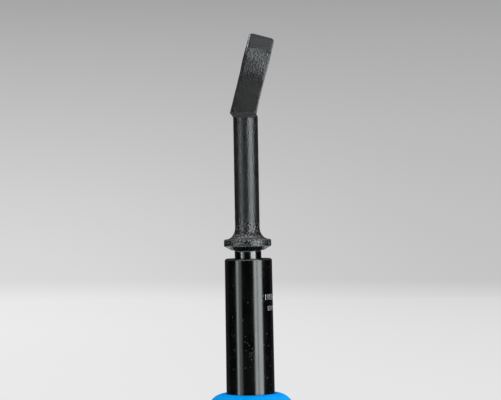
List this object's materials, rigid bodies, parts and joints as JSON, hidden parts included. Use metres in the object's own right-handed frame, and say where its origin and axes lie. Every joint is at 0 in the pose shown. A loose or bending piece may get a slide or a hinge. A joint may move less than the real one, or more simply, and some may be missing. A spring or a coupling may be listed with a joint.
{
  "type": "pneumatic rivet gun",
  "caption": "Pistol-handled pneumatic riveting hammer standing upright, with a bare round barrel, a rubber front sleeve and a flat leaning rivet set in its nose.",
  "frame": {"origin": "centre of the flat rear cap, on the plane the gun stands on", "axes": "+Z along the barrel's axis towards the rivet set, the handle towards -Y, +X to the right seen from the handle's side"},
  "size_m": [0.0412, 0.1736, 0.294],
  "materials": {
    "forged_black": "black oxide over a fine forged grain",
    "barrel_black": "polished black oxide",
    "blue_rubber": "moulded rubber, semi-matte blue",
    "handle_paint": "cast aluminium, black powder coat",
    "black_steel": "black oxide, satin",
    "bright_steel": "ground and hardened",
    "satin_steel": "satin plated steel",
    "spring_steel": "drawn wire",
    "brass_fitting": "turned brass",
    "seal_rubber": "smooth nitrile",
    "felt": "pressed felt",
    "cap_black": "black anodised, turned"
  },
  "bodies": {
    "gun": {"nose_bushing": "bright_steel", "barrel": "barrel_black", "valve_cap": "bright_steel", "valve_box": "bright_steel", "valve_seat": "bright_steel", "dowel_pin": "bright_steel", "rear_cap": "cap_black", "rear_cap_o_ring": "seal_rubber", "handle_casting": "handle_paint", "grip_cover": "blue_rubber", "front_sleeve": "blue_rubber", "centring_bush": "brass_fitting", "trigger_pin": "black_steel", "throttle_bushing": "brass_fitting", "throttle_spring": "spring_steel", "inlet_nipple": "satin_steel", "inlet_screen": "spring_steel", "swivel_seal": "seal_rubber"},
    "shank_ring": {"shank_o_ring": "seal_rubber"},
    "rivet_set": {"rivet_set": "forged_black"},
    "piston": {"piston": "bright_steel"},
    "valve": {"valve": "bright_steel"},
    "trigger": {"trigger": "satin_steel"},
    "throttle_stem": {"throttle_stem": "bright_steel", "throttle_seat_ring": "seal_rubber"},
    "regulator": {"regulator": "black_steel", "regulator_clip": "spring_steel", "regulator_seal": "seal_rubber"},
    "inlet_swivel": {"inlet_swivel": "satin_steel", "snap_ring": "spring_steel"},
    "deflector": {"exhaust_deflector": "cap_black", "exhaust_silencer": "felt"}
  },
  "joints": [
    {"name": "set_turn", "type": "hinge", "parent": "gun", "child": "shank_ring", "pos_m": [0, 0, 0.1702], "axis": [0, 0, 1], "continuous": true},
    {"name": "set_slide", "type": "slide", "parent": "shank_ring", "child": "rivet_set", "axis": [0, 0, 1], "range_m": [0, 0.025]},
    {"name": "piston_stroke", "type": "slide", "parent": "gun", "child": "piston", "axis": [0, 0, 1], "range_m": [0, 0.088]},
    {"name": "valve_shift", "type": "slide", "parent": "gun", "child": "valve", "axis": [0, 0, 1], "range_m": [0, 0.0025]},
    {"name": "trigger_pull", "type": "hinge", "parent": "gun", "child": "trigger", "pos_m": [0, -0.0264, 0.058], "axis": [1, 0, 0], "range_deg": [0, 10], "stiffness_Nm_per_rad": 0.6, "springref_deg": -8.59},
    {"name": "throttle_press", "type": "slide", "parent": "gun", "child": "throttle_stem", "axis": [0, 0.1908, -0.9816], "range_m": [0, 0.0039], "deforming": ["throttle_spring"]},
    {"name": "regulator_turn", "type": "hinge", "parent": "gun", "child": "regulator", "pos_m": [0, -0.10627, 0.02206], "axis": [1, 0, 0], "range_deg": [0, 90]},
    {"name": "inlet_spin", "type": "hinge", "parent": "gun", "child": "inlet_swivel", "pos_m": [0, -0.12934, 0.01758], "axis": [0, -0.9816, -0.1908], "continuous": true},
    {"name": "deflector_turn", "type": "hinge", "parent": "gun", "child": "deflector", "pos_m": [0, 0, 0.063], "axis": [0, 0, 1], "continuous": true}
  ],
  "couplings": [
    {"joint": "throttle_press", "follows": "trigger_pull", "m_per_rad": 0.0213}
  ]
}
